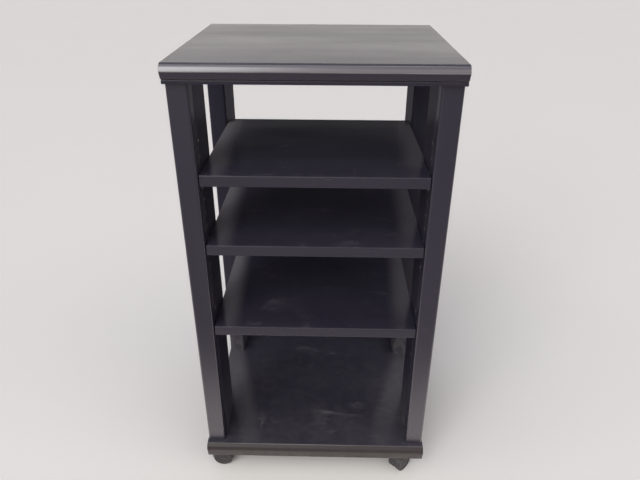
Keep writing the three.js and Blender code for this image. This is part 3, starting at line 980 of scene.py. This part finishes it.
def makePin(parts):
    gap, rise, reach = parts["gap"], parts["rise"], parts["reach"]
    face, under = gap + parts["plate"], rise - parts["ledge"]
    outer, inner = parts["bend"]
    outline = [(gap, -parts["drop"]), (face, -parts["drop"])]
    outline += quarter((face + inner, under - inner), inner, 90)[::-1]
    outline += [(reach, under), (reach, rise)]
    outline += quarter((gap + outer, rise - outer), outer, 90)
    plate = drawAlongX("shelfPin", outline, -parts["width"] / 2, parts["width"] / 2)
    bevelEdges(plate, [(1, {2: -parts["drop"]}), (2, {1: reach})], *parts["corner"])
    place(plate, Matrix.Rotation(math.radians(-90), 4, "Z"))
    radius, length, sides = parts["peg"]
    tip, end = parts["pegTip"], face - parts["pegSunk"]
    peg = turnProfile("peg", [(0, -length), (radius - tip, -length), (radius, -length + tip),
                              (radius, end), (0, end)], sides)
    place(peg, Matrix.Rotation(math.radians(90), 4, "Y"))
    cutWith(plate, peg, "UNION")
    softenArrises(plate, parts["arris"], limit=parts["arrisFrom"])
    return plate


def makePins(parts):
    pin = makePin(parts)
    length = parts["peg"][1]
    for shelf in ("top", "middle", "bottom"):
        for side in ("left", "right"):
            for end in ("front", "rear"):
                node = f"shelf_{shelf}_pin_{side}_{end}"
                low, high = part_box(node)
                turn = 0 if side == "left" else math.pi
                x = low.x + length if side == "left" else high.x - length
                spot = Matrix.Translation((x, middleOf(node).y, high.z - parts["rise"]))
                standTwin(pin, f"{shelf}Shelf{side.title()}{end.title()}Pin",
                          spot @ Matrix.Rotation(turn, 4, "Z"), zincSteel, node, "rack", "zinc_steel")
    bpy.data.objects.remove(pin)


makePins(pinParts)
print("shelf pins made")


# Screws: countersunk, with a hexagon socket in the head

screwParts = {
    "head": (5 * mm, 1 * mm, 3 * mm),  # radius, rim and cone height
    "edge": 0.3 * mm,
    "shank": 3.5 * mm,
    "root": 2.9 * mm,
    "runIn": 1 * mm,
    "thread": (24 * mm, 2.9 * mm, 14),  # where it starts, pitch and turns
    "crest": (0.45, 0.55),  # shares of the pitch
    "tip": 0.8,  # share of the root's radius
    "length": 70 * mm,
    "sides": 20,
    "socket": (2.25 * mm, 2.5 * mm, 6),  # radius, depth and sides
}


def makeScrew(parts):
    radius, rim, cone = parts["head"]
    edge, shank, root = parts["edge"], parts["shank"], parts["root"]
    start, pitch, turns = parts["thread"]
    profile = [(0, 0), (radius - edge, 0), (radius, edge), (radius, rim), (shank, rim + cone),
               (shank, start - parts["runIn"]), (root, start)]
    for turn in range(turns):
        foot = start + turn * pitch
        profile += [(shank, foot + share * pitch) for share in parts["crest"]]
        profile.append((root, foot + pitch))
    profile += [(root * parts["tip"], parts["length"]), (0, parts["length"])]
    screw = turnProfile("screw", profile, parts["sides"])
    width, depth, sides = parts["socket"]
    cutWith(screw, turnRod("key", width, -mm, depth, sides))
    return screw


def makeScrews(parts):
    screw = makeScrew(parts)
    for node in sorted(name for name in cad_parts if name.startswith("screw_")):
        foot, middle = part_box(node)[0].z, middleOf(node)
        name = "".join(word.title() for word in node.split("_")[1:])
        standTwin(screw, f"screw{name}", Matrix.Translation((middle.x, middle.y, foot)),
                  zincSteel, node, "rack", "zinc_steel", 40)
    bpy.data.objects.remove(screw)


makeScrews(screwParts)
print("screws made")


# Casters: a socket, a hooded body on a stem, and two wheels. They are built trailing towards +X.

bodyParts = {
    "hood": (26.3 * mm, 28.3 * mm, 15.5 * mm, 1.2 * mm),  # inner, outer, half width and rounding
    "web": (3 * mm, 10 * mm),  # half thickness, and the radius of the hub below
    "boss": (11 * mm, 39.2 * mm, 60.2 * mm, 1.5 * mm),  # radius, foot, top and rounding
    "stem": (4 * mm, 94.5 * mm, 8 * mm, 1 * mm),  # radius, top, root in the boss and tip
    "ring": (6 * mm, 2 * mm, 0.6 * mm, 0.3 * mm),  # below the top, height, depth and slope
    "bore": 3.12 * mm,
    "arris": 0.3 * mm,
    "arrisFrom": 55,
    "sides": {"hood": 64, "boss": 40, "hub": 40, "stem": 28, "bore": 24},
}
# the wheel's offsets are in millimetres: its rim's from the rim's inside, its dish's and hub cap's
# from the dished face
wheelParts = {
    "radius": 25 * mm,
    "width": 14 * mm,
    "shoulder": (2 * mm, 6),  # rounding and steps
    "treadLines": (0.36, 0.64),  # shares of the width
    "treadLine": (0.35 * mm, 0.25 * mm),  # half width and depth
    "rim": 2.5 * mm,
    "rimOffsets": [(0.3, 0), (0, -0.2)],
    "dish": 1.2 * mm,
    "dishOffsets": [(-0.8, 0.2), (-1.3, 0)],
    "hubCap": (7 * mm, 0.8 * mm),
    "capOffsets": [(3.6, 0), (3.2, -0.4), (1.9, -0.4), (1.5, 0), (0.8, 0.05), (0, 0.48), (-0.9, 0.68),
                   (-3, 0.8)],
    "bore": (3.12 * mm, 9.5 * mm, 0.4 * mm),  # radius, depth and mouth
    "recess": (4 * mm, 5 * mm, 0.6 * mm),  # from the bore, from the tread and its depth
    "sides": 64,
}
socketParts = {
    "flange": (14 * mm, 2.3 * mm),  # radius and thickness
    "flangeEdges": (0.7 * mm, 0.3 * mm),  # lower and upper
    "sleeve": (6 * mm, 60.5 * mm, 97 * mm),  # radius, foot and top
    "bore": (4.12 * mm, 1.5 * mm),  # radius, and what stays closed above it
    "edge": 0.5 * mm,
    "sides": 48,
}
casterParts = {
    "turns": {"front_left": 178.2, "front_right": 225.9, "rear_left": 111.6, "rear_right": 81},
    "trail": 12 * mm,
    "wheelGap": 3.5 * mm,  # from the middle of the web to a wheel's inner face
}


def makeCasterBody(parts, axle):
    sides = parts["sides"]
    inner, outer, half, soft = parts["hood"]
    profile = [(0, -half)] + quarter((outer - soft, -half + soft), soft, -90)
    profile += quarter((outer - soft, half - soft), soft, 0) + [(0, half)]
    body = turnProfile("casterBody", profile, sides["hood"])
    place(body, axle)
    turnMode("EDIT")
    selectAll()
    bpy.ops.mesh.bisect(plane_co=(0, 0, axle.translation.z), plane_no=(0, 0, 1), use_fill=True,
                        clear_inner=True)
    turnMode("OBJECT")
    radius, foot, top, edge = parts["boss"]
    profile = [(0, foot), (radius, foot)] + quarter((radius - edge, top - edge), edge, 0) + [(0, top)]
    cutWith(body, turnProfile("boss", profile, sides["boss"]), "UNION")
    web, hub = parts["web"]
    cutWith(body, joinPieces("spaces", [
        turnRod(f"space{side}", inner, side * web, side * 2 * half, sides["hood"], axle)
        for side in (1, -1)]))
    cutWith(body, turnRod("hub", hub, -web, web, sides["hub"], axle), "UNION")
    radius, end, root, tip = parts["stem"]
    below, tall, deep, slope = parts["ring"]
    foot, ring = top - root, end - below
    profile = [(0, foot), (radius, foot), (radius, ring), (radius - deep, ring + slope),
               (radius - deep, ring + tall - slope), (radius, ring + tall), (radius, end - tip),
               (radius - tip, end), (0, end)]
    cutWith(body, turnProfile("stem", profile, sides["stem"]), "UNION")
    cutWith(body, turnRod("bore", parts["bore"], -2 * web, 2 * web, sides["bore"], axle))
    softenArrises(body, parts["arris"], limit=parts["arrisFrom"])
    return body


def makeWheel(parts):
    radius, width = parts["radius"], parts["width"]
    bore, depth, mouth = parts["bore"]
    fromBore, fromTread, deep = parts["recess"]
    shoulder, steps = parts["shoulder"]
    line, dip = parts["treadLine"]
    cap, rise = parts["hubCap"]
    inside, face = radius - shoulder - parts["rim"], width - parts["dish"]
    profile = [(0, depth), (bore, depth), (bore, mouth), (bore + mouth, 0), (bore + fromBore, 0),
               (bore + fromBore + deep, deep), (radius - fromTread - deep, deep),
               (radius - fromTread, 0)]
    profile += quarter((radius - shoulder, shoulder), shoulder, -90, steps)
    for share in parts["treadLines"]:
        middle = share * width
        profile += [(radius, middle - line), (radius - dip, middle), (radius, middle + line)]
    profile += quarter((radius - shoulder, width - shoulder), shoulder, 0, steps)
    profile += shifted(inside, width, parts["rimOffsets"]) + shifted(inside, face, parts["dishOffsets"])
    profile += shifted(cap, face, parts["capOffsets"]) + [(0, face + rise)]
    return turnProfile("wheel", profile, parts["sides"])


def makeSocket(parts):
    flange, thick = parts["flange"]
    lower, upper = parts["flangeEdges"]
    sleeve, foot, top = parts["sleeve"]
    bore, closed = parts["bore"]
    edge, height = parts["edge"], top - foot
    profile = [(0, height - closed), (bore, height - closed), (bore, edge), (bore + edge, 0),
               (flange - lower, 0), (flange, lower), (flange, thick - upper), (flange - upper, thick),
               (sleeve, thick), (sleeve, height - edge), (sleeve - edge, height), (0, height)]
    return turnProfile("casterSocket", profile, parts["sides"])


def makeCasters(parts):
    trail, axleHeight = parts["trail"], wheelParts["radius"]
    axle = Matrix.Translation((trail, 0, axleHeight)) @ Matrix.Rotation(math.radians(90), 4, "X")
    body, wheel = makeCasterBody(bodyParts, axle), makeWheel(wheelParts)
    socket = makeSocket(socketParts)
    for caster, turn in parts["turns"].items():
        node = f"{caster}_caster"
        middle = middleOf(f"{node}_socket")
        spot = Matrix.Translation((middle.x, middle.y, 0))
        turned = spot @ Matrix.Rotation(math.radians(turn), 4, "Z")
        first, second = caster.split("_")
        label = first + second.title() + "Caster"
        standTwin(socket, label + "Socket", spot @ Matrix.Translation((0, 0, socketParts["sleeve"][1])),
                  zincSteel, f"{node}_socket", "rack", "zinc_steel")
        standTwin(body, label + "Body", turned,
                  casterNylon, f"{node}_body", f"{caster}_swivel", "caster_plastic")
        for number, side in ((1, 1), (2, -1)):
            inner = Matrix.Translation((trail, side * parts["wheelGap"], axleHeight))
            standTwin(wheel, f"{label}Wheel{number}",
                      turned @ inner @ Matrix.Rotation(math.radians(-90 * side), 4, "X"),
                      wheelNylon, f"{node}_wheel_{number}", f"{caster}_wheel_{number}", "wheel_plastic")
    for pattern in (body, wheel, socket):
        bpy.data.objects.remove(pattern)


makeCasters(casterParts)
print("casters made")


# The axles and dowels keep their CAD shape, and get a finish

for nodeName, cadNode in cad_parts.items():
    for isKept, finish in ((nodeName.endswith("_axle"), zincSteel),
                           (nodeName.startswith("dowel_"), beechDowel)):
        if isKept:
            cadNode.data.materials.clear()
            cadNode.data.materials.append(finish)
print("axles and dowels finished")


# Floor, light and camera

floorLook = {
    "size": 80,
    "color": (0.46, 0.455, 0.445, 1),
    "patch": (0.4462, 0.44135, 0.43165, 1),
    "patchScale": 1.2,
    "roughness": 0.7,
    "gloss": 0.2,
    # what the foil mirrors: a bright strip of floor close in front, a dim room beyond, and behind the
    # rack a dark floor as painted shadow of the rack
    "near": (0.88, 0.82, 0.77, 1),
    "far": (0.160, 0.140, 0.138, 1),
    "distant": (0.080, 0.070, 0.070, 1),
    "behind": (0.09, 0.085, 0.095, 1),
    # the depths over which each of them comes in
    "nearStart": (0.0, -0.2),
    "nearEnd": (-0.78, -0.38),
    "distantStart": (-1.2, -2.4),
    "behindStart": (0.0, 0.3),
}


def makeFloor(look):
    # plain and pale to the eye and as a source of light; only mirrored views see the room's own floor
    bpy.ops.mesh.primitive_plane_add(size=look["size"], location=(0, 0, 0))
    floor = bpy.context.object
    floor.name = floor.data.name = "floor"
    material, tree, shader, coords = newFinish("paleFloor")
    depth = addSplit(tree, coords["Object"])["Y"]
    ahead = addRange(tree, depth, *look["nearEnd"])
    close = addRange(tree, depth, *look["nearStart"])
    near = multiply(tree, ahead, close)
    distant = addRange(tree, depth, *look["distantStart"])
    behind = addRange(tree, depth, *look["behindStart"])
    far = addMix(tree, behind, addMix(tree, distant, look["far"], look["distant"]), look["behind"])
    mirrored = addMix(tree, near, far, look["near"])
    patches = addNoise(tree, coords["Object"], look["patchScale"], detail=4)
    pale = addMix(tree, patches, look["color"], look["patch"])
    path = addNode(tree, "ShaderNodeLightPath")
    feed(tree, addMix(tree, path.outputs["Is Glossy Ray"], pale, mirrored), shader["Base Color"])
    shader["Roughness"].default_value = look["roughness"]
    shader["Specular IOR Level"].default_value = look["gloss"]
    floor.data.materials.append(material)
    floor.select_set(False)


worldLook = {
    "backdrop": 0.78,
    # brightness against the sine of the height above the horizon, as shares of the brightest
    "brightest": 2.5,
    "frontStart": (-0.25, 0.15, 1.0, 0.0),
    "front": [(0.0, 0.06), (0.08, 0.12), (0.22, 0.85), (0.65, 0.95), (0.88, 0.6), (1.0, 0.25)],
    "frontColor": (1.05, 1.0, 0.96, 1),
    "behind": [(0.0, 0.28), (0.14, 0.31), (0.195, 0.71), (0.235, 0.02), (0.7, 0.02), (0.95, 0.4)],
    "behindColor": (1.035, 0.99, 0.955, 1),
    "shadeColor": (0.90, 0.92, 1.25, 1),
    "shadeStart": (0.22, 0.27),
    # the wall lies in the rack's shadow straight behind, and is lit on both sides of that
    "litWall": 0.05,
    "litWallFrom": (8, 13),
    "litWallRise": (0.22, 0.27, 0.72, 0.80),
    # a tall window in front on the left, in degrees across and the same heights as above
    "glow": 6.5,
    "glowTurn": 28,
    "glowSpread": (7, 27),
    "glowRise": (0.11, 0.26, 0.78, 0.93),
}


def addRamp(tree, value, stops):
    node = addNode(tree, "ShaderNodeValToRGB")
    ramp = node.color_ramp
    ramp.interpolation = "EASE"
    while len(ramp.elements) < len(stops):
        ramp.elements.new(1.0)
    for element, (position, level) in zip(ramp.elements, stops):
        element.position = position
        element.color = (level, level, level, 1)
    feed(tree, value, node.inputs[0])
    return node.outputs[0]


def addBand(tree, value, edges):
    # one between the middle two edges, nothing outside the outer two
    lowFrom, lowTo, highFrom, highTo = edges
    return multiply(tree, addRange(tree, value, lowFrom, lowTo),
                    addRange(tree, value, highFrom, highTo, 1.0, 0.0))


def makeWorld(look):
    # a lit room in front and above, a pale wall behind, and the window's glow
    world = bpy.data.worlds.new("softStudio")
    bpy.context.scene.world = world
    world.use_nodes = True
    tree = world.node_tree
    background = tree.nodes["Background"]
    coords = addNode(tree, "ShaderNodeTexCoord").outputs
    toward = addSplit(tree, coords["Generated"])
    x, y, z = (toward[axis] for axis in "XYZ")
    isFront = addRange(tree, y, *look["frontStart"])
    ahead = addMix(tree, 1.0, addRamp(tree, z, look["front"]), look["frontColor"], "MULTIPLY")
    shade = addRange(tree, z, *look["shadeStart"])
    wallColor = addMix(tree, shade, look["behindColor"], look["shadeColor"])
    astern = addMix(tree, 1.0, addRamp(tree, z, look["behind"]), wallColor, "MULTIPLY")
    aside = addMath(tree, "ABSOLUTE", addMath(tree, "ARCTAN2", x, y))
    beside = addRange(tree, aside, *(math.radians(angle) for angle in look["litWallFrom"]))
    litWall = multiply(tree, beside, addBand(tree, z, look["litWallRise"]), look["litWall"])
    astern = addMix(tree, 1.0, astern, litWall, "ADD")
    levels = addMix(tree, isFront, astern, ahead)
    room = addMix(tree, 1.0, levels, (look["brightest"],) * 3 + (1,), "MULTIPLY")
    turn = addMath(tree, "ARCTAN2", multiply(tree, x, -1.0), multiply(tree, y, -1.0))
    toWindow = addMath(tree, "SUBTRACT", turn, math.radians(look["glowTurn"]))
    off = addMath(tree, "ABSOLUTE", toWindow)
    inner, outer = (math.radians(angle) for angle in look["glowSpread"])
    across = addRange(tree, off, inner, outer, 1.0, 0.0)
    glow = multiply(tree, across, addBand(tree, z, look["glowRise"]), look["glow"])
    path = addNode(tree, "ShaderNodeLightPath")
    lit = addMix(tree, 1.0, room, glow, "ADD")
    seen = addMix(tree, path.outputs["Is Camera Ray"], lit, (look["backdrop"],) * 3 + (1,))
    feed(tree, seen, background.inputs["Color"])


ceilingLight = {"spot": (-0.3, -0.2, 2.9), "target": (0, 0, 0), "size": (1.8, 1.8), "power": 12,
                "color": (1.0, 0.99, 0.97)}


def addSoftbox(name, spot, target, size, power, color):
    light = bpy.data.lights.new(name, "AREA")
    light.shape = "RECTANGLE"
    light.size, light.size_y = size
    light.energy = power
    light.color = color
    lamp = bpy.data.objects.new(name, light)
    bpy.context.scene.collection.objects.link(lamp)
    lamp.location = spot
    lamp.rotation_euler = (Vector(target) - Vector(spot)).to_track_quat("-Z", "Y").to_euler()


cameraView = {"spot": (0.03299, -1.28439, 1.26764), "leftTurn": 1.18, "downTilt": 28.42, "roll": 0.19,
              "lens": 31.91, "sensor": 36, "nearest": 0.05}


def makeCamera(view):
    camera = bpy.data.cameras.new("camera")
    camera.lens = view["lens"]
    camera.sensor_width = view["sensor"]
    camera.clip_start = view["nearest"]
    holder = bpy.data.objects.new("camera", camera)
    bpy.context.scene.collection.objects.link(holder)
    turn = (Matrix.Rotation(math.radians(view["leftTurn"]), 4, "Z")
            @ Matrix.Rotation(math.radians(90 - view["downTilt"]), 4, "X")
            @ Matrix.Rotation(math.radians(view["roll"]), 4, "Z"))
    holder.matrix_world = Matrix.Translation(view["spot"]) @ turn
    bpy.context.scene.camera = holder


makeFloor(floorLook)
makeWorld(worldLook)
addSoftbox("ceilingLight", **ceilingLight)
makeCamera(cameraView)
bpy.context.scene.view_settings.view_transform = "Standard"
print("studio made")
